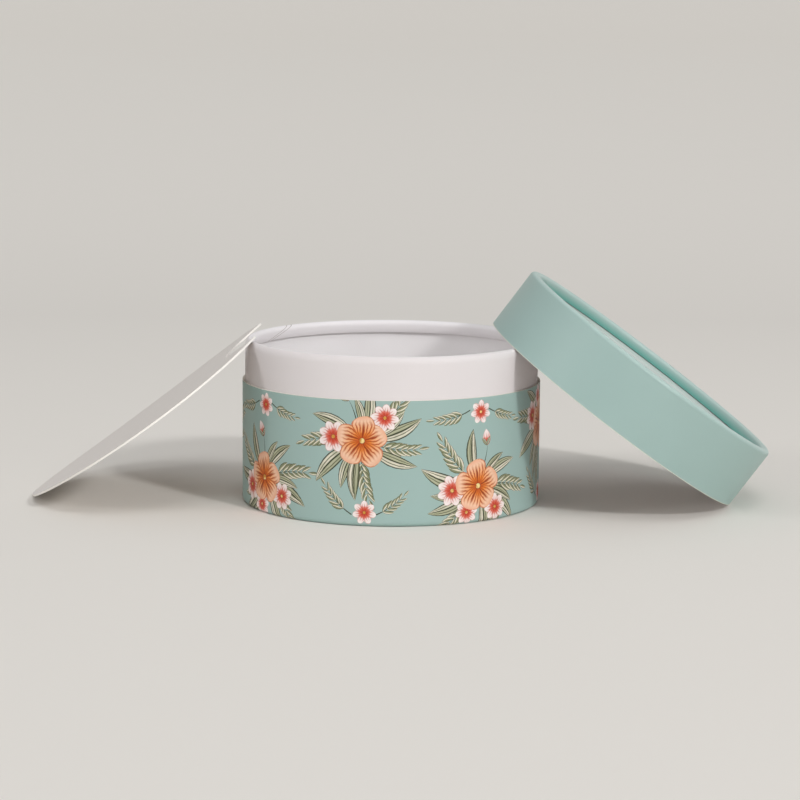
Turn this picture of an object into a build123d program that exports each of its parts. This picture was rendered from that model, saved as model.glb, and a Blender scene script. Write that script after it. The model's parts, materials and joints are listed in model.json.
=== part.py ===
from build123d import *
from math import asin, cos, degrees, hypot, pi, sin, sqrt
import os

os.makedirs("parts", exist_ok=True)

# Round gift tube box, opened: the base stands in the middle, the lid and the cover card lean on its neck
# Millimetres, floor at zero height, origin under the middle of the base, the lid leans to plus X

# Overall sizes
outer_radius = 60.0
shell_height = 49.1
neck_rise = 16.6
lid_height = 26.7

# Layers that the walls are made of
wrap_paper = 0.15
shell_board = 0.85
neck_board = 1.1
glue_gap = 0.04
lid_clearance = 0.14

# Rolled ends: outer radius of each roll, the flat pressed on it, and how deep its hem is turned in
rim_roll = 1.82
rim_flat = 0.0
rim_hem = 5.1
end_roll = 1.7
end_flat = 0.8
top_hem = 4.6
foot_hem = 4.0
crease_count = 4

# Round end discs and their facings
disc_board = 1.8
disc_clearance = 0.1
facing_paper = 0.2
floor_card = 0.5
ceiling_card = 0.4
lining_clearance = 0.2

# Cover card with its half-round thumb notch
card_thickness = 0.75
card_play = 0.5
card_sag = 1.8
notch_radius = 21.5
notch_offset = 1.0

# How high the raised edges of the leaning pieces stand above the neck, the gap left where they touch it,
# and how far behind the middle the card leans
lid_overhang = 5.8
card_overhang = 4.2
card_aside = 4.4
touch_gap = 0.08

# Radii and heights that follow from the sizes above
shell_inner = outer_radius - wrap_paper - shell_board
neck_outer = shell_inner - glue_gap
neck_inner = neck_outer - wrap_paper - neck_board
neck_top = shell_height + neck_rise
lid_inner = neck_outer + lid_clearance
lid_board = outer_radius - wrap_paper - lid_inner
card_radius = lid_inner - card_play
disc_foot = foot_hem + facing_paper
disc_top = disc_foot + disc_board
lid_facing_top = lid_height - top_hem
lid_disc_top = lid_facing_top - facing_paper
lid_disc_foot = lid_disc_top - disc_board
card_bow = (card_radius**2 + card_sag**2) / (2 * card_sag)
card_reach = card_radius + card_play

# Heights at which the walls start to roll, and at which their hems end
foot_bend = end_roll
neck_bend = neck_top - rim_roll
neck_hem_end = neck_top - rim_hem
lid_bend = lid_height - end_roll

# The rounded top of the neck, as a ring of round section, is what the leaning pieces touch
rim_ring_radius = neck_outer - rim_roll - rim_flat / 2
rim_ring_height = neck_top - rim_roll


def half_turn(middle, flat, roll, bend, side, creases):
    """Half turn of a rolled end from outside to inside: smooth, or in flats where creases are given."""
    outer = middle + flat / 2
    inner = middle - flat / 2
    end = bend + side * roll
    if creases:
        rounds = []
        for step in range(creases + 1):
            turn = pi * step / creases
            centre = outer if turn <= pi / 2 else inner
            rounds.append((centre + roll * cos(turn), bend + side * roll * sin(turn)))
        if flat:
            rounds.insert(creases // 2 + 1, (inner, end))
        Polyline(rounds)
    elif flat:
        slant = roll * sin(pi / 4)
        ThreePointArc((outer + roll, bend), (outer + slant, bend + side * slant), (outer, end))
        Line((outer, end), (inner, end))
        ThreePointArc((inner, end), (inner - slant, bend + side * slant), (inner - roll, bend))
    else:
        ThreePointArc((outer + roll, bend), (middle, end), (inner - roll, bend))


def rolled_layer(radius, thickness, roll, flat, plain_end, bend, hem_end, creases):
    """Section of one layer of a tube wall whose end is rolled inwards and turned back along the wall."""
    side = 1 if bend > plain_end else -1
    middle = radius - roll - flat / 2
    hem_inner = middle - flat / 2 - roll
    hem_outer = hem_inner + thickness
    with BuildSketch() as layer:
        with BuildLine():
            Line((radius, plain_end), (radius, bend))
            half_turn(middle, flat, roll, bend, side, creases)
            Line((hem_inner, bend), (hem_inner, hem_end))
            Line((hem_inner, hem_end), (hem_outer, hem_end))
            Line((hem_outer, hem_end), (hem_outer, bend))
            half_turn(middle, flat, roll - thickness, bend, side, crease_count)
            Line((radius - thickness, bend), (radius - thickness, plain_end))
            Line((radius - thickness, plain_end), (radius, plain_end))
        make_face()
    return layer.sketch_local


def paper_layer(radius, roll, flat, plain_end, bend, hem_end):
    """Section of the smooth paper round a tube, which follows the board's flats only on its hidden side."""
    return rolled_layer(radius, wrap_paper, roll, flat, plain_end, bend, hem_end, 0)


def board_layer(radius, board, roll, flat, plain_end, bend, hem_end):
    """Section of the board tube under that paper; its rolled end is creased in flats."""
    face = radius - wrap_paper
    inner_roll = roll - wrap_paper
    return rolled_layer(face, board, inner_roll, flat, plain_end, bend, hem_end, crease_count)


def rim_distance(x, y, z):
    """Distance of a point from the rounded top of the neck."""
    beside = max(abs(hypot(x, y) - rim_ring_radius) - rim_flat / 2, 0)
    return hypot(beside, z - rim_ring_height) - rim_roll


def lid_gap(middle):
    """Least distance from the lid's mouth edge to the rim when the mouth's middle is this far out."""
    gaps = []
    for step in range(181):
        turn = pi * step / 180
        for radius in (lid_inner, outer_radius):
            along = radius * cos(turn)
            x = middle + along * cos(lid_lean)
            z = (outer_radius - along) * sin(lid_lean)
            gaps.append(rim_distance(x, radius * sin(turn), z))
    return min(gaps)


def bowed(along):
    """Height of the card's underside over the plane of its ends, at a distance along it from its middle."""
    return card_bow - card_sag - sqrt(card_bow**2 - along**2)


def card_gap(middle):
    """Least distance from the card's underside to the rim when its middle is this far out."""
    gaps = []
    for step in range(361):
        # Points on the edge of the thumb notch
        turn = pi * step / 180
        along = notch_centre - notch_radius * cos(turn)
        across = notch_radius * sin(turn)
        if hypot(along, across) < card_radius:
            x = -middle + along * cos(card_lean) - bowed(along) * sin(card_lean)
            z = (card_radius + along) * sin(card_lean) + bowed(along) * cos(card_lean)
            gaps.append(rim_distance(x, across + card_aside, z))
        # Points of the rim that lie under the card beside the notch
        x = rim_ring_radius * cos(turn)
        across = rim_ring_radius * sin(turn) - card_aside
        out = x + middle
        up = rim_ring_height - card_radius * sin(card_lean)
        along = out * cos(card_lean) + up * sin(card_lean)
        if hypot(along, across) < card_radius and hypot(along - notch_centre, across) > notch_radius:
            height = up * cos(card_lean) - out * sin(card_lean)
            gaps.append(bowed(along) - height - rim_roll)
    return min(gaps)


def resting_distance(gap, near, far):
    """Distance out from the base at which a leaning piece just touches the rim, found by halving."""
    for step in range(40):
        middle = (near + far) / 2
        if gap(middle) > touch_gap:
            far = middle
        else:
            near = middle
    return far


# Lean angles and resting places of the lid and the card
lid_lean = asin((neck_top + lid_overhang) / (2 * outer_radius))
card_lean = asin((neck_top + card_overhang) / (2 * card_radius))
notch_centre = card_radius + notch_offset
card_low = bowed(card_reach)
card_high = card_low + card_thickness
lid_out = resting_distance(lid_gap, outer_radius, 2 * outer_radius)
card_out = resting_distance(card_gap, outer_radius, 2 * outer_radius)

# Planes of the lid: its mouth, and the upright cut through its axis
lid_mouth = Vector(lid_out, 0, outer_radius * sin(lid_lean))
lid_along = Vector(cos(lid_lean), 0, -sin(lid_lean))
lid_up = Vector(sin(lid_lean), 0, cos(lid_lean))
lid_plane = Plane(origin=lid_mouth, x_dir=lid_along, z_dir=lid_up)
lid_section = Plane(origin=lid_mouth, x_dir=lid_along, z_dir=(0, -1, 0))
lid_axis = Axis(lid_mouth, lid_up)

# Planes of the card: its underside, and the upright cut through its axis
card_middle = Vector(-card_out, card_aside, card_radius * sin(card_lean))
card_along = Vector(cos(card_lean), 0, sin(card_lean))
card_up = Vector(-sin(card_lean), 0, cos(card_lean))
card_plane = Plane(origin=card_middle, x_dir=card_along, z_dir=card_up)
card_section = Plane(origin=card_middle, x_dir=card_along, z_dir=(0, -1, 0))

# Board tube of the base: straight upper edge, lower end rolled inwards to carry the bottom disc
with BuildPart() as shell_tube:
    with BuildSketch(Plane.XZ):
        add(board_layer(outer_radius, shell_board, end_roll, end_flat, shell_height, foot_bend, foot_hem))
    revolve(axis=Axis.Z)

# Printed paper glued round the shell and turned in with its rolled foot
with BuildPart() as printed_wrap:
    with BuildSketch(Plane.XZ):
        add(paper_layer(outer_radius, end_roll, end_flat, shell_height, foot_bend, foot_hem))
    revolve(axis=Axis.Z)

# White paper facing under the bottom disc, resting on the rolled foot
with BuildPart() as foot_facing:
    with BuildSketch(Plane.XY.offset(foot_hem)):
        Circle(shell_inner - disc_clearance)
    extrude(amount=facing_paper)

# Board disc that closes the base, held between the rolled foot and the neck
with BuildPart() as bottom_disc:
    with BuildSketch(Plane.XY.offset(disc_foot)):
        Circle(shell_inner - disc_clearance)
    extrude(amount=disc_board)

# Inner tube that stands on the bottom disc and out of the shell as the neck, its rim rolled inwards
with BuildPart() as neck_tube:
    with BuildSketch(Plane.XZ):
        add(board_layer(neck_outer, neck_board, rim_roll, rim_flat, disc_top, neck_bend, neck_hem_end))
    revolve(axis=Axis.Z)

# White paper over the neck, its rolled rim and the turned-in hem
with BuildPart() as neck_wrap:
    with BuildSketch(Plane.XZ):
        add(paper_layer(neck_outer, rim_roll, rim_flat, disc_top, neck_bend, neck_hem_end))
    revolve(axis=Axis.Z)

# White card laid on the bottom disc inside the neck
with BuildPart() as floor_lining:
    with BuildSketch(Plane.XY.offset(disc_top)):
        Circle(neck_inner - lining_clearance)
    extrude(amount=floor_card)

# Board tube of the lid: straight mouth edge, upper end rolled inwards round the recess
with BuildPart() as lid_tube:
    with BuildSketch(lid_section):
        add(board_layer(outer_radius, lid_board, end_roll, end_flat, 0, lid_bend, lid_facing_top))
    revolve(axis=lid_axis)

# Plain coloured paper glued round the lid and turned in with its rolled top
with BuildPart() as lid_wrap:
    with BuildSketch(lid_section):
        add(paper_layer(outer_radius, end_roll, end_flat, 0, lid_bend, lid_facing_top))
    revolve(axis=lid_axis)

# White paper facing on top of the lid's disc, seen in the recess
with BuildPart() as top_facing:
    with BuildSketch(lid_plane.offset(lid_disc_top)):
        Circle(lid_inner - disc_clearance)
    extrude(amount=facing_paper)

# Board disc that closes the lid, pushed up against the hem of the rolled top
with BuildPart() as top_disc:
    with BuildSketch(lid_plane.offset(lid_disc_foot)):
        Circle(lid_inner - disc_clearance)
    extrude(amount=disc_board)

# White card glued under the disc as the lid's ceiling
with BuildPart() as ceiling_lining:
    with BuildSketch(lid_plane.offset(lid_disc_foot - ceiling_card)):
        Circle(lid_inner - lining_clearance)
    extrude(amount=ceiling_card)

# Cover card: a round white card, a little sagged along its length, with a thumb notch in its raised end
with BuildPart() as cover_card:
    with BuildSketch(card_section):
        with BuildLine():
            ThreePointArc((-card_reach, card_low), (0, -card_sag), (card_reach, card_low))
            Line((card_reach, card_low), (card_reach, card_high))
            ThreePointArc((card_reach, card_high), (0, card_thickness - card_sag), (-card_reach, card_high))
            Line((-card_reach, card_high), (-card_reach, card_low))
        make_face()
    extrude(amount=card_reach, both=True)
    with BuildSketch(card_plane.offset(-2 * card_sag)):
        Circle(card_radius)
        with Locations((notch_centre, 0)):
            Circle(notch_radius, mode=Mode.SUBTRACT)
    extrude(amount=card_thickness + 3 * card_sag, mode=Mode.INTERSECT)

for name, piece in {
    "shell_tube": shell_tube,
    "printed_wrap": printed_wrap,
    "foot_facing": foot_facing,
    "bottom_disc": bottom_disc,
    "neck_tube": neck_tube,
    "neck_wrap": neck_wrap,
    "floor_lining": floor_lining,
    "lid_tube": lid_tube,
    "lid_wrap": lid_wrap,
    "top_facing": top_facing,
    "top_disc": top_disc,
    "ceiling_lining": ceiling_lining,
    "cover_card": cover_card,
}.items():
    piece.part.label = name
    export_step(piece.part, f"parts/{name}.step")
    print(name, round(piece.part.volume, 1), "mm3")
print("lid lean", round(degrees(lid_lean), 3), "middle", [round(v, 3) for v in lid_mouth])
print("card lean", round(degrees(card_lean), 3), "middle", [round(v, 3) for v in card_middle])
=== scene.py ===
import json
import math
import random
import bmesh
import bpy
from mathutils import Matrix, Vector
from mathutils.geometry import delaunay_2d_cdt


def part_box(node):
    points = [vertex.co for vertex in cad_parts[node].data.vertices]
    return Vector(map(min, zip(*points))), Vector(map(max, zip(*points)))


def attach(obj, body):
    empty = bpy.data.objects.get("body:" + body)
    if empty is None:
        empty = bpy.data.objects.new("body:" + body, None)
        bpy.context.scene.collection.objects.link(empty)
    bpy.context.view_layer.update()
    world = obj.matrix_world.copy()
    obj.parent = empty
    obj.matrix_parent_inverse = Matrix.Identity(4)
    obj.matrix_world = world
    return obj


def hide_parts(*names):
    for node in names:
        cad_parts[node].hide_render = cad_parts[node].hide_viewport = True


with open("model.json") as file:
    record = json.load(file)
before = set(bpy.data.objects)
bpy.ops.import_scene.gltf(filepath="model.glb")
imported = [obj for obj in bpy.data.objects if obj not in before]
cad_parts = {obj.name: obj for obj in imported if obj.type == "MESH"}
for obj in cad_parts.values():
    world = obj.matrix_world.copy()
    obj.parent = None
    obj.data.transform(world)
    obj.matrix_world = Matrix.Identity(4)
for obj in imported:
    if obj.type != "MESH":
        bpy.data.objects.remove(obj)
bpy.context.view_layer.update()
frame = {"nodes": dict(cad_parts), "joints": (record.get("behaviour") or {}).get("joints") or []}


# Board tube of the base: grey-white board wound into a tube, with a straight knife-cut upper edge.
# Its lower end is rolled inwards over the foot, and the bottom disc rests on that hem.
MM = 0.001


def ink(red, green, blue):
    """A colour given in ordinary screen numbers from 0 to 255, as the shader wants it."""
    levels = [value / 255 for value in (red, green, blue)]
    return (*[v / 12.92 if v <= 0.04045 else ((v + 0.055) / 1.055) ** 2.4 for v in levels], 1.0)


class Value:
    """One number or colour in a finish. Arithmetic on it adds Math nodes to that finish."""

    def __init__(self, finish, socket):
        self.finish = finish
        self.socket = socket

    def math(self, operation, *others):
        return self.finish.math(operation, self, *others)

    def __add__(self, other):
        return self.math("ADD", other)

    def __sub__(self, other):
        return self.math("SUBTRACT", other)

    def __rsub__(self, other):
        return self.finish.math("SUBTRACT", other, self)

    def __mul__(self, other):
        return self.math("MULTIPLY", other)

    def __truediv__(self, other):
        return self.math("DIVIDE", other)

    def __rtruediv__(self, other):
        return self.finish.math("DIVIDE", other, self)

    def __pow__(self, other):
        return self.math("POWER", other)

    def rising(self, low, high):
        """0 below low, 1 above high, and a smooth step between them."""
        limits = {"Value": self, "From Min": low, "From Max": high}
        return self.finish.node("MapRange", {"interpolation_type": "SMOOTHSTEP"}, limits)

    def falling(self, low, high):
        return 1 - self.rising(low, high)

    __radd__ = __add__
    __rmul__ = __mul__


class Finish:
    """One material's node tree, written as expressions."""

    def __init__(self, name, **constants):
        self.material = bpy.data.materials.new(name)
        self.material.use_nodes = True
        self.tree = self.material.node_tree
        self.tree.nodes.clear()
        self.shader = self.tree.nodes.new("ShaderNodeBsdfPrincipled")
        output = self.tree.nodes.new("ShaderNodeOutputMaterial")
        self.tree.links.new(self.shader.outputs[0], output.inputs[0])
        self.set(**constants)

    def fill(self, socket, value):
        if isinstance(value, Value):
            self.tree.links.new(value.socket, socket)
        else:
            socket.default_value = value

    def set(self, **values):
        """Values or links for the shader's own sockets, such as base_color."""
        for name, value in values.items():
            self.fill(self.shader.inputs[name.replace("_", " ").title().replace("Ior", "IOR")], value)
        return self

    def node(self, kind, settings, inputs, output=0):
        made = self.tree.nodes.new("ShaderNode" + kind)
        for name, value in settings.items():
            if name == "stops":
                ramp = made.color_ramp.elements
                while len(ramp) < len(value):
                    ramp.new(1.0)
                for element, (place, colour) in zip(ramp, value):
                    element.position = place
                    element.color = colour
            else:
                setattr(made, name, value)
        for key, value in inputs.items():
            self.fill(made.inputs[key], value)
        return Value(self, made.outputs[output])

    def math(self, operation, *values):
        return self.node("Math", {"operation": operation}, dict(enumerate(values)))

    def blend(self, factor, first, second, how="MIX"):
        """Colour that goes from the first to the second as the factor rises."""
        settings = {"data_type": "RGBA", "blend_type": how}
        return self.node("Mix", settings, {0: factor, 6: first, 7: second}, 2)

    def place(self):
        return self.node("TexCoord", {}, {}, "Object")

    def noise(self, scale, detail=2.0, roughness=0.5):
        texture = {"Vector": self.place(), "Scale": scale, "Detail": detail, "Roughness": roughness}
        return self.node("TexNoise", {}, texture)

    def paper(self, colour, roughness=0.6, cloud=0.03, tooth=0.004, wave=0.0):
        """Colour, cloudiness and fibre grain of a sheet of paper, with its tooth and waves in millimetres."""
        fibres = self.noise(2200.0, 3.0, 0.6)
        clouds = self.noise(55.0, 2.0, 0.5)
        shade = 1 - cloud + clouds * cloud + fibres * cloud
        grey = self.node("CombineColor", {}, {0: shade, 1: shade, 2: shade})
        bump = self.node("Bump", {}, {"Distance": MM, "Height": fibres * tooth + clouds * wave})
        return self.set(
            base_color=self.blend(1.0, colour, grey, "MULTIPLY"),
            roughness=roughness + (fibres - 0.5) * 0.12 + (clouds - 0.5) * 0.06,
            normal=bump,
        )


def corners_of_roll(radius, thickness, roll, flat, plain_end, roll_end, hem_end):
    """Corners of the section of one layer of a rolled tube, each with the radius it is bent to."""
    side = 1 if roll_end > plain_end else -1
    hem = radius - 2 * roll - flat
    under = roll_end - side * thickness
    tight = roll - thickness
    return [
        (radius, plain_end, 0),
        (radius, roll_end, roll),
        (hem, roll_end, roll),
        (hem, hem_end, 0),
        (hem + thickness, hem_end, 0),
        (hem + thickness, under, tight),
        (radius - thickness, under, tight),
        (radius - thickness, plain_end, 0),
    ]


def turning_tree():
    """Bends a section at its corners and turns it round the tube's axis."""
    tree = bpy.data.node_groups.new("turned_tube", "GeometryNodeTree")
    for name, kind in (
        ("Section", "NodeSocketGeometry"),
        ("Wall radius", "NodeSocketFloat"),
        ("Steps round", "NodeSocketInt"),
        ("Steps in a bend", "NodeSocketInt"),
        ("Finish", "NodeSocketMaterial"),
    ):
        tree.interface.new_socket(name, in_out="INPUT", socket_type=kind)
    tree.interface.new_socket("Tube", in_out="OUTPUT", socket_type="NodeSocketGeometry")

    def node(kind, settings, inputs):
        made = tree.nodes.new(kind)
        for name, value in settings.items():
            setattr(made, name, value)
        for name, value in inputs.items():
            if isinstance(value, bpy.types.NodeSocket):
                tree.links.new(value, made.inputs[name])
            else:
                made.inputs[name].default_value = value
        return made.outputs

    given = node("NodeGroupInput", {}, {})
    bend = node("GeometryNodeInputNamedAttribute", {"data_type": "FLOAT"}, {"Name": "bend_radius"})
    outline = node("GeometryNodeMeshToCurve", {}, {"Mesh": given["Section"]})
    rounded = node(
        "GeometryNodeFilletCurve",
        {"mode": "POLY"},
        {"Curve": outline["Curve"], "Count": given["Steps in a bend"], "Radius": bend["Attribute"]},
    )
    ring = node(
        "GeometryNodeCurvePrimitiveCircle",
        {},
        {"Resolution": given["Steps round"], "Radius": given["Wall radius"]},
    )
    level = node("GeometryNodeSetCurveNormal", {"mode": "Z_UP"}, {"Curve": ring["Curve"]})
    swept = node("GeometryNodeCurveToMesh", {}, {"Curve": level["Curve"], "Profile Curve": rounded["Curve"]})
    real = node("GeometryNodeRealizeInstances", {}, {"Geometry": swept["Mesh"]})
    dressed = node("GeometryNodeSetMaterial", {}, {"Geometry": real["Geometry"], "Material": given["Finish"]})
    node("NodeGroupOutput", {}, {"Tube": dressed["Geometry"]})
    return tree


turning = turning_tree()


def turned_tube(name, corners, finish, steps=256, bend_steps=9, place=Matrix.Identity(4)):
    """A closed ring-shaped wall turned from its section, in millimetres about its own upright axis."""
    wall_radius = corners[0][0]
    wire = bpy.data.meshes.new(name)
    points = [((radius - wall_radius) * MM, -height * MM, 0) for radius, height, bend in corners]
    wire.from_pydata(points, [(i, (i + 1) % len(points)) for i in range(len(points))], [])
    bends = wire.attributes.new("bend_radius", "FLOAT", "POINT")
    bends.data.foreach_set("value", [bend * MM for radius, height, bend in corners])
    tube = bpy.data.objects.new(name, wire)
    bpy.context.scene.collection.objects.link(tube)
    turner = tube.modifiers.new("turning", "NODES")
    turner.node_group = turning
    sockets = {item.name: item.identifier for item in turning.interface.items_tree if item.in_out == "INPUT"}
    turner[sockets["Wall radius"]] = wall_radius * MM
    turner[sockets["Steps round"]] = steps
    turner[sockets["Steps in a bend"]] = bend_steps
    turner[sockets["Finish"]] = finish.material
    made = bpy.data.meshes.new_from_object(tube.evaluated_get(bpy.context.evaluated_depsgraph_get()))
    tube.modifiers.clear()
    tube.data = made
    made.name = name
    loose = bmesh.new()
    loose.from_mesh(made)
    bmesh.ops.remove_doubles(loose, verts=loose.verts, dist=1e-7)
    bmesh.ops.recalc_face_normals(loose, faces=loose.faces)
    loose.to_mesh(made)
    loose.free()
    made.transform(place)
    made.shade_smooth()
    made.set_sharp_from_angle(angle=math.radians(35))
    return tube


def keep(piece, body, slot, *nodes):
    """Puts a finished piece on its body, in the place of the solids that it stands for."""
    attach(piece, body)
    if nodes:
        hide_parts(*nodes)


OUTER_RADIUS = 60.0
SHELL_HEIGHT = 49.1
SHELL_BOARD = 0.85
PAPER = 0.15
END_ROLL = 1.7
END_FLAT = 0.8
FOOT_HEM = 4.0

board = Finish("grey-white board", specular_ior_level=0.3).paper(ink(226, 221, 211), 0.85, 0.10, 0.018)
shell = turned_tube(
    "shell_board",
    corners_of_roll(
        OUTER_RADIUS - PAPER, SHELL_BOARD, END_ROLL - PAPER, END_FLAT, SHELL_HEIGHT, PAPER, FOOT_HEM,
    ),
    board,
)
keep(shell, "base", "shell_board", "shell_tube")


# Printed paper round the base: one sheet with a scattered floral print on a mint ground, glued on,
# overlapped at the back, cut flush with the board above and turned in with the rolled foot below.
GROUND, BLOSSOM, DAISY, LEAF, SPRAY, STEM, HEART = range(7)
SHEET_END = math.pi * OUTER_RADIUS
QUARTER = END_ROLL * math.pi / 2
SHEET_FOOT = END_ROLL - 2 * QUARTER - END_FLAT - (FOOT_HEM - END_ROLL)
LAP = 8.0
LAP_FOOT = 2.2
LAP_RISE = 2.0
MINT = ink(162, 188, 183)
shapes = []


def bent_strip(u, v, turn, length, bend):
    """Ways to and from a motif's own measures: share of its length along a bent axis, and distance across."""
    forward = Vector((math.cos(turn), math.sin(turn)))
    left = Vector((-forward.y, forward.x))
    start = Vector((u, v))
    bow = length / bend

    def outward(along, across):
        angle = bend * along
        x = (bow - across) * math.sin(angle)
        y = bow - (bow - across) * math.cos(angle)
        return start + forward * x + left * y

    def inward(point):
        x = (point - start).dot(forward)
        y = bow - (point - start).dot(left)
        sign = math.copysign(1, bow)
        return math.atan2(x * sign, y * sign) / bend, bow - sign * math.hypot(x, y)

    return outward, inward


def petal(kind, tone, u, v, turn, length, width, bend=0.2, blunt=0.5, narrow=0.9, wave=0.0):
    """A petal or a leaf: narrow at its foot, widest past its middle, with a blunt or a pointed tip."""
    outward, inward = bent_strip(u, v, turn, length, bend)
    widest = narrow / (narrow + blunt)
    full = widest**narrow * (1 - widest) ** blunt

    def reach(along, side):
        along = min(max(along, 0.0), 1.0)
        ripple = 1 + wave * along * math.sin(9 * along + 2.2 * side + 7 * tone)
        return max(0.5 * width * along**narrow * (1 - along) ** blunt / full * ripple, 0.02)

    steps = 11 if width > 2.5 else 6
    shares = [0.5 - 0.5 * math.cos(math.pi * step / steps) for step in range(steps + 1)]
    edge = [outward(share, -reach(share, -1)) for share in shares]
    edge += [outward(share, reach(share, 1)) for share in reversed(shares)]

    def measure(point):
        along, across = inward(point)
        return along, across / reach(along, math.copysign(1, across))

    shapes.append((kind, tone, edge, measure))


def heart(tone, u, v, radius):
    """The round middle of a blossom."""
    middle = Vector((u, v))
    turns = [2 * math.pi * step / 16 for step in range(16)]
    edge = [middle + Vector((math.cos(turn), math.sin(turn))) * radius for turn in turns]
    shapes.append((HEART, tone, edge, lambda point: ((point - middle).length / radius, 0.0)))


def stem(tone, u, v, turn, length, bend, width=0.42):
    outward, inward = bent_strip(u, v, turn, length, bend)
    shares = [step / 8 for step in range(9)]
    edge = [outward(share, -width / 2 * (1.1 - share)) for share in shares]
    edge += [outward(share, width / 2 * (1.1 - share)) for share in reversed(shares)]
    shapes.append((STEM, tone, edge, inward))
    return outward


def leaf(chance, u, v, turn, length, width, bend):
    petal(LEAF, chance.random(), u, v, turn, length, width, bend, blunt=0.95, narrow=0.85)


def sprig(chance, u, v, turn, length, bend, pairs=5):
    """A thin stem with small pointed leaves in pairs and one at its tip."""
    outward = stem(chance.random(), u, v, turn, length, bend)
    for pair in range(pairs):
        share = 0.25 + 0.7 * pair / pairs
        point = outward(share, 0)
        size = length * (0.36 - 0.16 * share)
        for side in (1, -1):
            spread = side * (0.62 + 0.15 * chance.random())
            angle = turn + bend * share + spread
            petal(SPRAY, chance.random(), *point, angle, size, size * 0.3, side * -0.5, blunt=0.8, narrow=0.8)
    tip = outward(0.97, 0)
    petal(SPRAY, chance.random(), *tip, turn + bend, length * 0.22, length * 0.07, 0.1, blunt=0.8)


def blossom(chance, u, v, radius, turn):
    """Five broad round petals that overlap, round a small heart."""
    tone = chance.random()
    for step in (0, 2, 4, 1, 3):
        angle = turn + step * 2 * math.pi / 5 + 0.16 * (chance.random() - 0.5)
        size = radius * (0.92 + 0.16 * chance.random())
        petal(BLOSSOM, tone, u, v, angle, size, radius * 0.9, 0.35, blunt=0.45, narrow=0.95, wave=0.07)
    heart(tone, u, v, radius * 0.12)


def daisy(chance, u, v, radius, turn, petals=8):
    tone = chance.random()
    for step in range(petals):
        angle = turn + step * 2 * math.pi / petals
        petal(DAISY, tone, u, v, angle, radius, radius * 0.6, 0.15, blunt=0.5, narrow=0.7)
    heart(tone, u, v, radius * 0.14)


def bud(chance, u, v, turn, size):
    stem(chance.random(), u, v, turn, size * 1.4, 0.3)
    tip = Vector((u, v)) + Vector((math.cos(turn + 0.2), math.sin(turn + 0.2))) * size * 1.25
    petal(DAISY, chance.random(), *tip, turn + 0.3, size, size * 0.6, 0.3, blunt=0.8, narrow=0.6)
    for spread in (0.5, -0.3):
        petal(LEAF, chance.random(), *tip, turn + 0.3 + spread, size * 0.6, size * 0.24, spread, blunt=1.0)


# The way that each sprig and leaf of a posy points, in radians, and its length in millimetres.
POSY_SPRIGS = ((0.35, 22), (2.75, 21), (-1.9, 20), (-0.6, 19))
POSY_LEAVES = (
    (-0.15, 20), (0.1, 15), (0.95, 17), (1.25, 13), (2.2, 18),
    (3.35, 21), (-2.5, 16), (-2.2, 19), (-0.95, 19),
)


def posy(u, v, turn, seed):
    """One large blossom with two or three small ones, over a spray of leaves and sprigs."""
    chance = random.Random(seed)
    side = 1 if seed % 2 else -1

    def beside(angle, distance):
        return u + distance * math.cos(turn + angle), v + distance * math.sin(turn + angle)

    for angle, length in POSY_SPRIGS:
        sprig(chance, *beside(angle, 4), turn + angle, length, 0.4 * side, 6)
    for angle, length in POSY_LEAVES:
        leaf(chance, *beside(angle, 5), turn + angle, length, length * 0.27, 0.55 * side)
    bud(chance, *beside(1.55, 8), turn + 1.5, 6.5)
    daisy(chance, *beside(0.5 * side, 12.6), 5.4, chance.random())
    daisy(chance, *beside(2.75 * side, 11.6), 6.2, chance.random())
    if seed % 3:
        daisy(chance, *beside(1.75 * side, 11.2), 4.9, chance.random())
    blossom(chance, u, v, 10.2, chance.random())


for step in range(9):
    middle = (step - 4.23) * SHEET_END / 4
    posy(middle, 14.5 if step % 2 else 33.5, 0.35 * math.sin(2.1 * step), 11 + step)
    scatter = random.Random(70 + step)
    high = 44.5 if step % 2 else 4.5
    sprig(scatter, middle - 4, high, 3.6 if step % 2 else 2.6, 16, -0.5)
    sprig(scatter, middle + 5, high, -0.5 if step % 2 else 0.4, 14, 0.4)
    daisy(scatter, middle + 1, high + (-1.0 if step % 2 else 1.0), 4.7, scatter.random(), 7)


def printed_sheet():
    """The sheet cut along every motif's edge, each face with its top motif's kind, tone and measures."""
    points, lines, outlines = [], [], []

    def line(*ends):
        points.extend(Vector(end) for end in ends)
        lines.append((len(points) - 2, len(points) - 1))

    columns = 256
    for column in range(columns + 1):
        u = SHEET_END * (2 * column / columns - 1)
        line((u, SHEET_FOOT), (u, SHELL_HEIGHT))
    for step in range(1, 6):
        line((SHEET_END + LAP * step / 5, LAP_FOOT), (SHEET_END + LAP * step / 5, SHELL_HEIGHT))
    line((-SHEET_END, LAP_FOOT), (SHEET_END + LAP, LAP_FOOT))
    heights = [END_ROLL + (SHELL_HEIGHT - END_ROLL) * row / 20 for row in range(21)]
    for row in range(1, 7):
        heights += [END_ROLL - QUARTER * row / 6, END_ROLL - QUARTER - END_FLAT - QUARTER * row / 6]
    heights += [END_ROLL - QUARTER - END_FLAT, SHEET_FOOT]
    for v in heights:
        line((-SHEET_END, v), (SHEET_END + LAP if v > LAP_FOOT else SHEET_END, v))
    for kind, tone, edge, measure in shapes:
        outlines.append(list(range(len(points), len(points) + len(edge))))
        points.extend(edge)
    cut = delaunay_2d_cdt(points, lines, outlines, 0, 1e-4, True)
    return cut[0], cut[2], cut[5]


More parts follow.
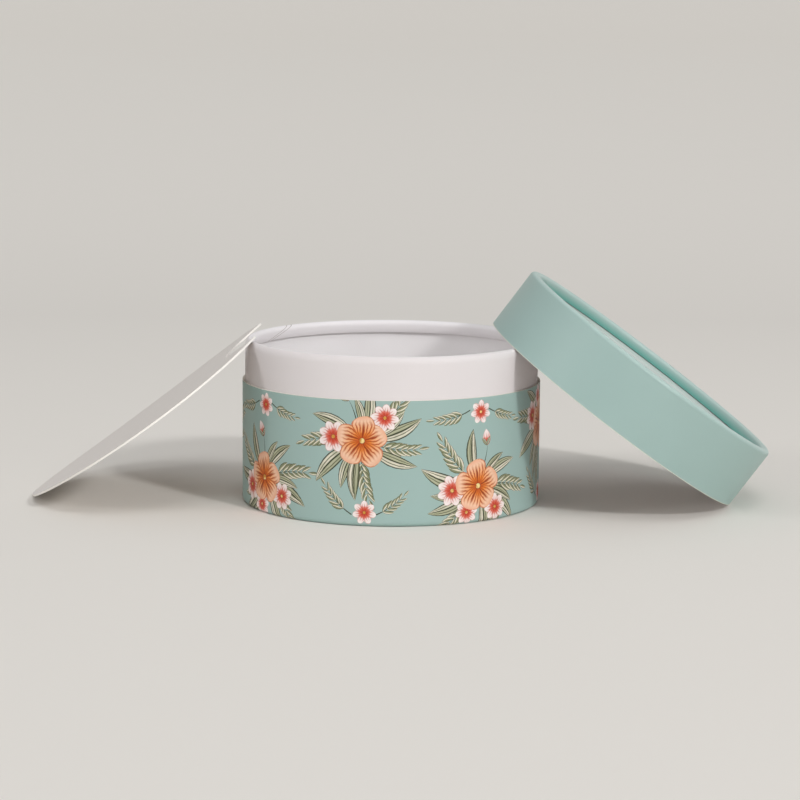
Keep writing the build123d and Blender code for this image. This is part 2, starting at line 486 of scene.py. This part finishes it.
def on_base(u, v):
    """Where a point of the flat sheet comes to lie on the base, round its foot and into it."""
    angle = u / OUTER_RADIUS
    travel = END_ROLL - v
    if travel <= 0:
        climb = min(max((u - SHEET_END) / LAP_RISE + 1, 0), 1) * min(max((v - LAP_FOOT) / LAP_RISE, 0), 1)
        radius, height = OUTER_RADIUS + (PAPER + 0.02) * climb, v
    elif travel <= QUARTER:
        radius = OUTER_RADIUS - END_ROLL * (1 - math.cos(travel / END_ROLL))
        height = END_ROLL * (1 - math.sin(travel / END_ROLL))
    elif travel <= QUARTER + END_FLAT:
        radius, height = OUTER_RADIUS - END_ROLL - (travel - QUARTER), 0
    elif travel <= 2 * QUARTER + END_FLAT:
        turn = (travel - END_FLAT) / END_ROLL
        radius = OUTER_RADIUS - END_ROLL * (1 - math.cos(turn)) - END_FLAT
        height = END_ROLL * (1 - math.sin(turn))
    else:
        radius = OUTER_RADIUS - 2 * END_ROLL - END_FLAT
        height = END_ROLL + travel - 2 * QUARTER - END_FLAT
    return radius * math.sin(angle) * MM, -radius * math.cos(angle) * MM, height * MM


def print_finish():
    """Inks of the print, chosen by the kind of motif and graded along and across each petal and leaf."""
    finish = Finish("floral printed paper", specular_ior_level=0.35)
    motif = finish.node("UVMap", {"uv_map": "motif"}, {})
    split = finish.node("SeparateXYZ", {}, {0: motif})
    along = split
    across = Value(finish, split.socket.node.outputs[1])
    edge = across.math("ABSOLUTE")
    kind = finish.node("Attribute", {"attribute_name": "kind"}, {}, "Fac")
    tone = finish.node("Attribute", {"attribute_name": "tone"}, {}, "Fac")
    fine = finish.noise(420.0, 2.0, 0.6)
    rough = finish.noise(170.0, 2.0, 0.5)

    def graded(*stops):
        return finish.node("ValToRGB", {"stops": [(at, ink(*rgb)) for at, rgb in stops]}, {0: along})

    def streaks(number, width, start, end):
        """Thin lines that run along the motif and fade between two shares of its length."""
        wander = across * number + (fine - 0.5) * 0.9 + tone * 3
        line = (wander.math("FRACT") - 0.5).math("ABSOLUTE").falling(width * 0.4, width)
        return line * along.falling(start, end)

    big = graded(
        (0.0, (136, 46, 10)), (0.14, (204, 90, 22)), (0.3, (230, 134, 50)),
        (0.5, (242, 180, 128)), (0.8, (246, 204, 174)), (1.0, (238, 176, 142)),
    )
    big = finish.blend(streaks(3.0, 0.3, 0.52, 0.92) * 0.9, big, ink(190, 78, 18))
    big = finish.blend(edge.falling(0.04, 0.2) * along.falling(0.4, 0.8), big, ink(160, 58, 14))
    big = finish.blend(edge.rising(0.84, 0.96) * 0.8, big, ink(202, 104, 56))
    small = graded(
        (0.0, (170, 36, 20)), (0.28, (208, 70, 46)), (0.42, (226, 126, 108)),
        (0.56, (246, 226, 222)), (1.0, (250, 240, 238)),
    )
    small = finish.blend(streaks(1.6, 0.24, 0.5, 0.85) * 0.75, small, ink(206, 82, 60))
    small = finish.blend(edge.rising(0.82, 0.95) * 0.75, small, ink(204, 134, 122))
    green = finish.blend(across.rising(-0.15, 0.15), ink(228, 223, 204), ink(184, 185, 156))
    green = finish.blend(rough.rising(0.4, 0.7) * 0.4, green, ink(150, 154, 120))
    veins = (across * 2.1 + tone * 0.6 + (fine - 0.5) * 0.25).math("FRACT").falling(0.22, 0.42)
    green = finish.blend(veins * 0.85, green, ink(88, 92, 60))
    green = finish.blend(edge.falling(0.06, 0.16), green, ink(58, 62, 36))
    green = finish.blend(edge.rising(0.74, 0.9), green, ink(50, 54, 32))
    green = finish.blend(along.falling(0.0, 0.3) * 0.5, green, ink(70, 76, 44))
    spray = finish.blend(across.rising(-0.25, 0.05), ink(226, 221, 200), ink(134, 138, 104))
    spray = finish.blend(edge.rising(0.6, 0.85) * 0.85, spray, ink(58, 62, 38))
    yellow = finish.blend(fine.rising(0.45, 0.6), ink(208, 150, 60), ink(246, 222, 150))
    yellow = finish.blend(along.rising(0.7, 0.95), yellow, ink(150, 60, 30))

    colour = MINT
    inks = {BLOSSOM: big, DAISY: small, LEAF: green, SPRAY: spray, STEM: ink(62, 66, 42), HEART: yellow}
    for number, printed in inks.items():
        colour = finish.blend(finish.math("COMPARE", kind, number, 0.5), colour, printed)
    return finish.paper(colour, 0.5, 0.035, 0.003, 0.1)


def thickened(name, mesh, thickness, side):
    """A sheet of one thickness on one side of a surface, with its cut edges in the second material."""
    sheet = bpy.data.objects.new(name, mesh)
    bpy.context.scene.collection.objects.link(sheet)
    solid = sheet.modifiers.new("thickness", "SOLIDIFY")
    solid.thickness = thickness * MM
    solid.offset = side
    solid.material_offset_rim = 1
    sheet.data = bpy.data.meshes.new_from_object(sheet.evaluated_get(bpy.context.evaluated_depsgraph_get()))
    sheet.modifiers.clear()
    sheet.data.shade_smooth()
    sheet.data.set_sharp_from_angle(angle=math.radians(35))
    return sheet


def printed_wrap():
    cut_points, cut_faces, owners = printed_sheet()
    faces, kinds, tones, measures = [], [], [], []
    for face, owner in zip(cut_faces, owners):
        middle = sum((cut_points[i] for i in face), Vector((0, 0))) / len(face)
        if not -SHEET_END < middle.x < SHEET_END + LAP or not SHEET_FOOT < middle.y < SHELL_HEIGHT:
            continue
        if middle.x > SHEET_END and middle.y < LAP_FOOT:
            continue
        faces.append(face)
        if owner:
            kind, tone, edge, measure = shapes[max(owner)]
        for i in face:
            kinds.append(kind if owner else GROUND)
            tones.append(tone if owner else 0.0)
            measures.extend(measure(cut_points[i]) if owner else (0.0, 0.0))
    mesh = bpy.data.meshes.new("printed_paper")
    mesh.from_pydata([on_base(*point) for point in cut_points], [], faces)
    mesh.uv_layers.new(name="motif").data.foreach_set("uv", measures)
    for name, values in (("kind", kinds), ("tone", tones)):
        mesh.attributes.new(name, "FLOAT", "CORNER").data.foreach_set("value", values)
    mesh.materials.append(print_finish().material)
    mesh.materials.append(board.material)
    cleaned = bmesh.new()
    cleaned.from_mesh(mesh)
    bmesh.ops.delete(cleaned, geom=[v for v in cleaned.verts if not v.link_faces], context="VERTS")
    ends = [v for v in cleaned.verts if v.is_boundary and v.co.y > 0 and v.co.z < LAP_FOOT * MM + 1e-6]
    bmesh.ops.remove_doubles(cleaned, verts=ends, dist=1e-7)
    cleaned.to_mesh(mesh)
    cleaned.free()
    return thickened("printed_paper", mesh, PAPER, -1)


keep(printed_wrap(), "base", "printed_paper", "printed_wrap")


# Neck: a second, slightly smaller board tube glued inside the shell and standing out of it, covered
# with smooth white paper. Its rim is rolled over into a full round lip with a short hem inside.
NECK_RADIUS = 58.96
NECK_FOOT = 6.0
NECK_TOP = 65.7
RIM_ROLL = 1.82
RIM_SHOULDER = 3.2
RIM_HEM = 60.6
HEM_LEAN = 0.9
NECK_BOARD = 1.1


def corners_of_rim(radius, thickness, roll, shoulder, top):
    """Section of one layer of the neck: tall outer shoulder, round lip, and a hem that leans to the wall."""
    middle = radius - roll

    def edge(inset):
        round_lip = roll - inset
        tall = shoulder - inset
        points = []
        for step in range(13):
            turn = math.pi / 2 * step / 12
            points.append((middle + round_lip * math.cos(turn), top - shoulder + tall * math.sin(turn)))
        for step in range(1, 10):
            turn = math.pi / 2 * (1 + step / 9)
            points.append((middle + round_lip * math.cos(turn), top - roll + round_lip * math.sin(turn)))
        for step in range(1, 6):
            share = step / 5
            across = middle - roll + inset + HEM_LEAN * share**2
            points.append((across, top - roll + share * (RIM_HEM - top + roll)))
        return points

    section = [(radius, NECK_FOOT), *edge(0), *reversed(edge(thickness)), (radius - thickness, NECK_FOOT)]
    return [(across, height, 0) for across, height in section]


NECK_WHITE = ink(229, 223, 223)
# Painted light: a lighter copy of the same white paper, used inside the rim where the inside is lit more.
NECK_WHITE_PAINTED_LIGHT_INSIDE = ink(240, 236, 237)
NECK_SURFACE = (0.55, 0.025, 0.0025, 0.08)

white_board = Finish("white-faced board", specular_ior_level=0.35)
white_board.paper(ink(240, 237, 237), 0.65, 0.04, 0.008)
white_paper = Finish("smooth white paper", specular_ior_level=0.3)
white_paper.paper(NECK_WHITE, *NECK_SURFACE)

# Two faint slanted lines inside the rim, taken as the edges of the neck paper's slanted overlap.
SEAM_SLANT = math.radians(2.8) / MM
SEAM_TURNS = (-234.6, -231.7)
SEAM_SHADE = ink(178, 168, 164)
seamed_paper = Finish("white neck paper with its seam", specular_ior_level=0.3)
across_x = seamed_paper.node("SeparateXYZ", {}, {0: seamed_paper.place()})
across_y, upward = (Value(seamed_paper, across_x.socket.node.outputs[i]) for i in (1, 2))
seam_turn = seamed_paper.math("ARCTAN2", across_x, across_y) - upward * SEAM_SLANT
inside_rim = ((across_x * across_x + across_y * across_y) ** 0.5).falling(57.0 * MM, 57.8 * MM)
seam = 0.0
for turn in SEAM_TURNS:
    seam = (seam_turn - math.radians(turn)).math("ABSOLUTE").falling(0.003, 0.009) * inside_rim + seam
# Painted light: inside the rim the white is blended to the lighter copy of the same paper.
rim_white_painted_light = seamed_paper.blend(inside_rim, NECK_WHITE, NECK_WHITE_PAINTED_LIGHT_INSIDE)
seamed_paper.paper(seamed_paper.blend(seam * 0.8, rim_white_painted_light, SEAM_SHADE), *NECK_SURFACE)
neck = turned_tube(
    "neck_board",
    corners_of_rim(NECK_RADIUS - PAPER, NECK_BOARD, RIM_ROLL - PAPER, RIM_SHOULDER - PAPER, NECK_TOP - PAPER),
    white_board,
    bend_steps=1,
)
keep(neck, "base", "neck_board", "neck_tube")
neck_paper = turned_tube(
    "neck_paper",
    corners_of_rim(NECK_RADIUS, PAPER, RIM_ROLL, RIM_SHOULDER, NECK_TOP),
    seamed_paper,
    bend_steps=1,
)
keep(neck_paper, "base", "neck_paper", "neck_wrap")


# Bottom of the base: a plain board disc between a white paper facing below and a white card lining
# above, pushed against the rolled foot and held there by the neck.
def dress(node, finish):
    """Gives a piece that comes straight from the frame its finish."""
    frame["nodes"][node].data.materials.clear()
    frame["nodes"][node].data.materials.append(finish.material)


dress("foot_facing", white_paper)
dress("bottom_disc", board)
dress("floor_lining", white_paper)


# Lid: a shallow board tube covered with plain mint paper, its top edge rolled inwards round a
# recessed disc. It leans on the neck, with its mouth towards the base.
LID_HEIGHT = 26.7
LID_INNER = 59.1
TOP_HEM = 4.35

lift = next(joint for joint in frame["joints"] if joint["child"] == "lid")
lean = math.atan2(lift["axis"][0], lift["axis"][2])
lowest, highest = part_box("lid_wrap")
mouth = Vector((
    lowest.x + OUTER_RADIUS * MM * math.cos(lean),
    0,
    lowest.z + OUTER_RADIUS * MM * math.sin(lean),
))
lid_place = Matrix.Translation(mouth) @ Matrix.Rotation(lean, 4, "Y")

mint_paper = Finish("plain mint paper", specular_ior_level=0.5)
lid_up = Vector(lift["axis"])
from_mouth = mint_paper.node("VectorMath", {"operation": "SUBTRACT"}, {0: mint_paper.place(), 1: mouth})
above_mouth = mint_paper.node("VectorMath", {"operation": "DOT_PRODUCT"}, {0: from_mouth, 1: lid_up}, 1)
sideways = mint_paper.node("VectorMath", {"operation": "CROSS_PRODUCT"}, {0: from_mouth, 1: lid_up})
from_axis = mint_paper.node("VectorMath", {"operation": "LENGTH"}, {0: sideways}, 1)
hem_radius = OUTER_RADIUS - 2 * END_ROLL - END_FLAT
# Painted shade: inside the recess the mint is darkened to a deep teal towards the disc, where the rolled hem
# shades it.
recess = from_axis.falling((hem_radius + 0.6) * MM, (hem_radius + 1.8) * MM)
recess_painted_shade = recess * above_mouth.falling((LID_HEIGHT - TOP_HEM) * MM, (LID_HEIGHT - 0.6) * MM)
# Painted highlight: a paler line along the crest of the rolled top edge.
crest_painted_highlight = above_mouth.rising((LID_HEIGHT - 1.3) * MM, (LID_HEIGHT - 0.1) * MM)
worn_edge = above_mouth.falling(0.2 * MM, 0.4 * MM)
mint = mint_paper.blend(recess_painted_shade * 0.85, MINT, ink(80, 158, 146))
mint = mint_paper.blend(crest_painted_highlight * 0.5, mint, ink(198, 216, 212))
mint = mint_paper.blend(worn_edge * 0.7, mint, ink(222, 220, 204))
mint_paper.paper(mint, 0.42, 0.035, 0.003, 0.2)
lid_board = turned_tube(
    "lid_board",
    corners_of_roll(
        OUTER_RADIUS - PAPER, OUTER_RADIUS - PAPER - LID_INNER, END_ROLL - PAPER, END_FLAT,
        0, LID_HEIGHT - PAPER, LID_HEIGHT - TOP_HEM,
    ),
    white_board,
    place=lid_place,
)
keep(lid_board, "lid", "lid_board", "lid_tube")
lid_paper = turned_tube(
    "lid_paper",
    corners_of_roll(OUTER_RADIUS, PAPER, END_ROLL, END_FLAT, 0, LID_HEIGHT, LID_HEIGHT - TOP_HEM),
    mint_paper,
    bend_steps=12,
    place=lid_place,
)
keep(lid_paper, "lid", "lid_paper", "lid_wrap")


# Top of the lid: a board disc faced with smooth, slightly glossy white paper, pushed up against the
# hem of the rolled edge, with a thinner white card glued under it as the ceiling.
glossy_paper = Finish("glossy white paper", specular_ior_level=0.5)
glossy_paper.paper(ink(236, 235, 232), 0.2, 0.02, 0.0012)
dress("top_facing", glossy_paper)
dress("top_disc", board)
dress("ceiling_lining", white_paper)


# Cover card: a round of thin white card that lies on the contents, with a half-round thumb notch cut
# from its edge. It leans on the neck, notch upwards, a little sagged along its length and twisted.
CARD_RADIUS = 58.6
CARD_THICKNESS = 0.75
CARD_SAG = 2.3
CARD_ROLL = math.radians(-1.95)
CARD_TWIST = math.radians(1.9)
NOTCH_RADIUS = 21.5
NOTCH_MIDDLE = 59.6

card_lift = next(joint for joint in frame["joints"] if joint["child"] == "card")
card_up = Vector(card_lift["axis"])
card_along = Vector((card_up.z, 0, -card_up.x))
lowest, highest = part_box("cover_card")
card_middle = Vector((
    lowest.x / MM + CARD_RADIUS * card_along.x - CARD_THICKNESS * card_up.x,
    (lowest.y + highest.y) / 2 / MM,
    CARD_RADIUS * card_along.z,
))


def card_outline():
    """Edge of the card in its own plane, anticlockwise, with the notch's edge in it."""
    reach = (CARD_RADIUS**2 - NOTCH_RADIUS**2 + NOTCH_MIDDLE**2) / (2 * NOTCH_MIDDLE)
    horn = math.acos(reach / CARD_RADIUS)
    turn = math.asin(CARD_RADIUS * math.sin(horn) / NOTCH_RADIUS)
    edge = []
    for step in range(193):
        angle = horn + 2 * (math.pi - horn) * step / 192
        edge.append((CARD_RADIUS * math.cos(angle), CARD_RADIUS * math.sin(angle)))
    for step in range(1, 56):
        angle = -turn + 2 * turn * step / 56
        edge.append((NOTCH_MIDDLE - NOTCH_RADIUS * math.cos(angle), NOTCH_RADIUS * math.sin(angle)))
    return edge


def on_card(along, across):
    """Underside of the leaning card over a point of its flat shape."""
    sag = -CARD_SAG * (1 - (along / CARD_RADIUS) ** 2)
    lift = sag + across * (CARD_ROLL + CARD_TWIST * (along + CARD_RADIUS) / (2 * CARD_RADIUS)) + 0.04
    return (card_middle + card_along * along + Vector((0, 1, 0)) * across + card_up * lift) * MM


def cover_card():
    edge = card_outline()
    notch = Vector((NOTCH_MIDDLE, 0))
    points = [Vector(point) for point in edge]
    for row in range(-19, 20):
        for column in range(-19, 20):
            point = Vector((row * 3.0, column * 3.0))
            if point.length < CARD_RADIUS - 1 and (point - notch).length > NOTCH_RADIUS + 1:
                points.append(point)
    cut = delaunay_2d_cdt(points, [], [list(range(len(edge)))], 1, 1e-4, True)
    mesh = bpy.data.meshes.new("cover_card")
    middles = [sum((cut[0][i] for i in face), Vector((0, 0))) / 3 for face in cut[2]]
    kept = [face for face, middle in zip(cut[2], middles) if (middle - notch).length > NOTCH_RADIUS]
    mesh.from_pydata([on_card(*point) for point in cut[0]], [], kept)
    mesh.materials.append(card_face.material)
    mesh.materials.append(card_edge.material)
    return thickened("cover_card_sheet", mesh, CARD_THICKNESS, 1)


card_face = Finish("thin white card", specular_ior_level=0.35).paper(ink(227, 221, 216), 0.6, 0.03, 0.004)
card_edge = Finish("cut edge of the card", specular_ior_level=0.3).paper(ink(250, 246, 240), 0.7, 0.03, 0.006)
keep(cover_card(), "card", "cover_card", "cover_card")


# Stage: a pale seamless sheet that the box stands on, wide enough for every view, curved up far behind.
# Away from the lamps a faint glow, seen but not shed on the box, keeps the sheet as pale as it is near them.
SWEEP_REACH = 12.0
SWEEP_BACK = 8.0
SWEEP_BEND = 3.0
sweep = [(-SWEEP_REACH, 0.0), (SWEEP_BACK, 0.0)]
for step in range(1, 17):
    turn = math.pi / 2 * step / 16
    sweep.append((SWEEP_BACK + SWEEP_BEND * math.sin(turn), SWEEP_BEND * (1 - math.cos(turn))))
sweep.append((SWEEP_BACK + SWEEP_BEND, 6.0))
backdrop_mesh = bpy.data.meshes.new("backdrop")
backdrop_mesh.from_pydata(
    [(x, y, z - 0.03 * MM) for x in (-SWEEP_REACH, SWEEP_REACH) for y, z in sweep],
    [],
    [(i, i + len(sweep), i + 1 + len(sweep), i + 1) for i in range(len(sweep) - 1)],
)
backdrop_mesh.shade_smooth()
backdrop = bpy.data.objects.new("backdrop", backdrop_mesh)
bpy.context.scene.collection.objects.link(backdrop)
paper_sweep = Finish("pale backdrop", base_color=ink(232, 228, 222), roughness=0.75, specular_ior_level=0.2)
RAYS = ("Is Camera Ray", "Is Glossy Ray", "Is Transmission Ray")
seen = sum(paper_sweep.node("LightPath", {}, {}, ray) for ray in RAYS)
LIT_MIDDLE = (0.0, -2.4, 0.0)
LIT_REACH = 3.0
ends = {0: paper_sweep.place(), 1: LIT_MIDDLE}
from_lamps = paper_sweep.node("VectorMath", {"operation": "DISTANCE"}, ends, 1)
far = 1 - (LIT_REACH / from_lamps.math("MAXIMUM", LIT_REACH)) ** 2
glow = paper_sweep.blend(far * seen, (0, 0, 0, 1), ink(139, 137, 133))
paper_sweep.set(emission_color=glow, emission_strength=1.0)
backdrop_mesh.materials.append(paper_sweep.material)


# Light: a strong soft lamp at the right, a weaker one far round to the left, a large one above, and a pale
# world, which looks as pale as the sheet where the camera sees past its edge.
def lamp(name, place, target, size, power):
    data = bpy.data.lights.new(name, "AREA")
    data.shape = "DISK"
    data.size = size
    # The cone keeps the floor near the lamp below white. What it adds along the lamp's axis is taken out.
    half_cone = math.radians(60)
    data.spread = 2 * half_cone
    data.energy = power * (1 - half_cone / math.tan(half_cone))
    light = bpy.data.objects.new(name, data)
    light.location = place
    light.rotation_euler = (Vector(target) - Vector(place)).to_track_quat("-Z", "Y").to_euler()
    bpy.context.scene.collection.objects.link(light)


BOX_MIDDLE = (0, 0, 0.04)
lamp("left", (-3.7, -1.7, 1.7), BOX_MIDDLE, 0.6, 24.0)
lamp("right", (2.5, -3.1, 2.4), BOX_MIDDLE, 0.45, 82.0)
lamp("top", (0.4, -2.2, 3.8), BOX_MIDDLE, 2.0, 36.0)
world = bpy.data.worlds.new("studio")
world.use_nodes = True
shining = world.node_tree.nodes["Background"]
shining.inputs["Strength"].default_value = 0.46
looked_at = world.node_tree.nodes.new("ShaderNodeLightPath")
pale = world.node_tree.nodes.new("ShaderNodeMix")
pale.data_type = "RGBA"
pale.inputs[6].default_value = (1.0, 1.0, 1.0, 1.0)
pale.inputs[7].default_value = (1.32, 1.27, 1.21, 1.0)
world.node_tree.links.new(looked_at.outputs["Is Camera Ray"], pale.inputs[0])
world.node_tree.links.new(pale.outputs[2], shining.inputs["Color"])
bpy.context.scene.world = world
bpy.context.scene.view_settings.view_transform = "Standard"


# Camera: a long lens a little over a metre in front, looking slightly down, fitted to the outlines.
EYE = Vector((5.8, -1080.6, 208.3)) * MM
PITCH = math.radians(8.84)
YAW = math.radians(-0.12)
ROLL = math.radians(0.44)
FOCAL_SHARE = 2705.4 / 800
forward = Vector((math.sin(YAW) * math.cos(PITCH), math.cos(YAW) * math.cos(PITCH), -math.sin(PITCH)))
level_right = forward.cross(Vector((0, 0, 1))).normalized()
level_up = level_right.cross(forward)
right = level_right * math.cos(ROLL) + level_up * math.sin(ROLL)
up = level_up * math.cos(ROLL) - level_right * math.sin(ROLL)
lens = bpy.data.cameras.new("camera")
lens.sensor_width = 36.0
lens.lens = FOCAL_SHARE * lens.sensor_width
lens.clip_start = 0.05
lens.clip_end = 40.0
camera = bpy.data.objects.new("camera", lens)
camera.matrix_world = Matrix((
    (right.x, up.x, -forward.x, EYE.x),
    (right.y, up.y, -forward.y, EYE.y),
    (right.z, up.z, -forward.z, EYE.z),
    (0, 0, 0, 1),
))
bpy.context.scene.collection.objects.link(camera)
bpy.context.scene.camera = camera
